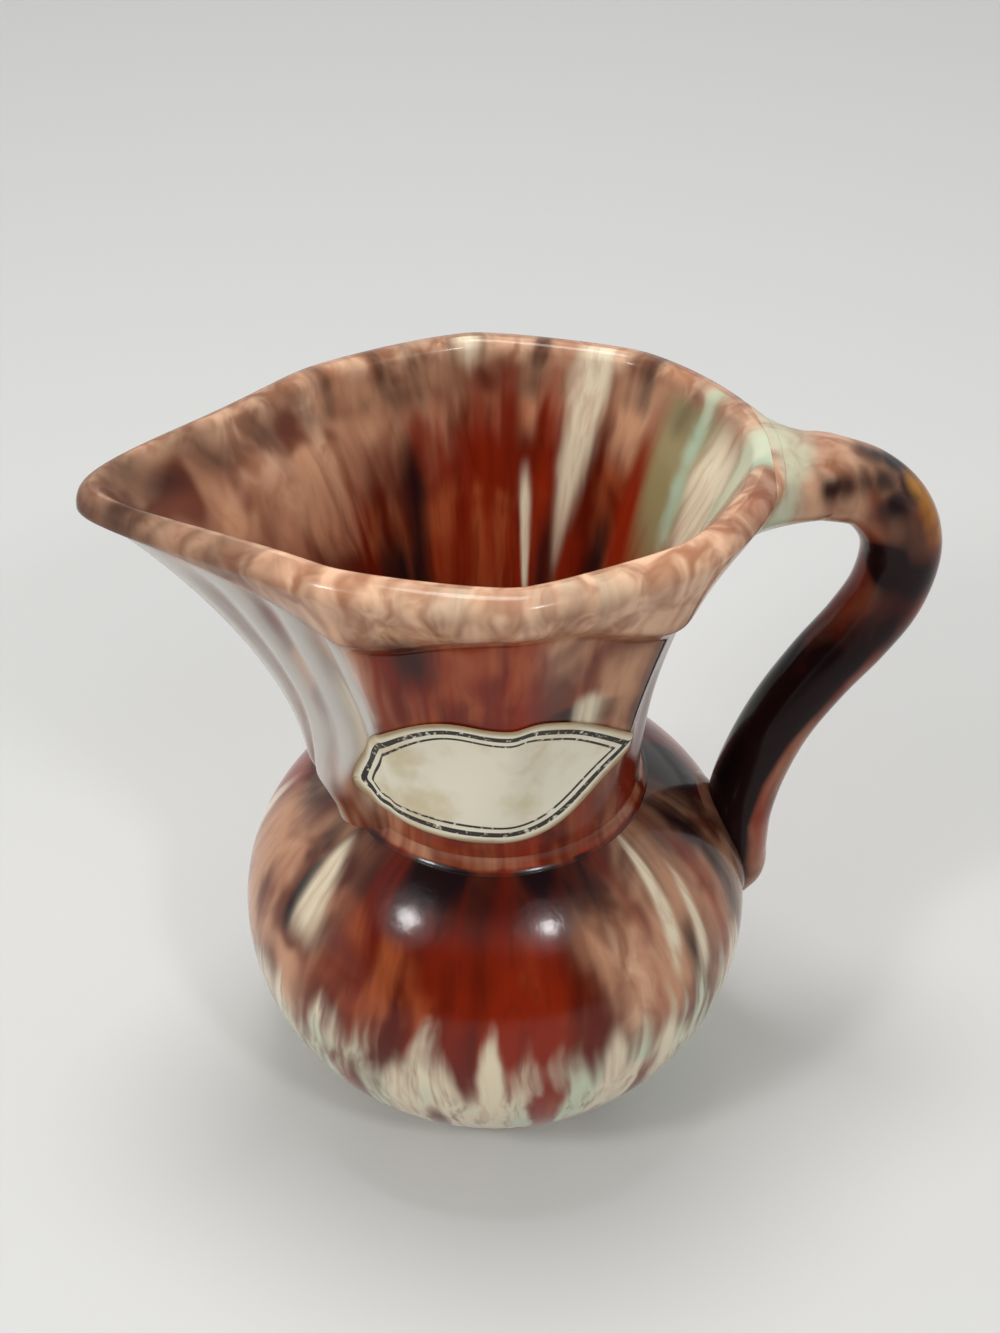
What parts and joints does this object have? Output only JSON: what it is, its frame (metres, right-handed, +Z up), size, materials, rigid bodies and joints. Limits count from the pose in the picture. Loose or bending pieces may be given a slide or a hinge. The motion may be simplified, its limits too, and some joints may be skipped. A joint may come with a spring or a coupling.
{
  "type": "fluted pouring jug",
  "caption": "Small glazed pouring jug with a round bowl, a fluted flaring neck drawn out into a spout, an ear handle and a blank paper label; holds and pours liquid.",
  "frame": {"origin": "centre of the foot ring, on the surface that the jug stands on", "axes": "+Z up along the axis of the bowl and neck, +X towards the handle, the spout towards -X, +Y across the jug"},
  "size_m": [0.0931, 0.061, 0.088],
  "materials": {
    "bowl_glaze": "glossy red-brown drip glaze with cream runs",
    "neck_glaze": "glossy red-brown and pink-tan drip glaze",
    "seam_glaze": "glossy, thin over the joint",
    "handle_glaze": "glossy mauve-brown with dark and mint runs",
    "upper_slip_glaze": "glossy mint",
    "lower_slip_glaze": "glossy dark brown",
    "label_paper": "aged cream paper, blank"
  },
  "bodies": {
    "root": {"bowl": "bowl_glaze", "neck": "neck_glaze", "neck_slip_seam": "seam_glaze", "handle": "handle_glaze", "upper_handle_slip": "upper_slip_glaze", "lower_handle_slip": "lower_slip_glaze", "paper_label": "label_paper"}
  },
  "joints": []
}
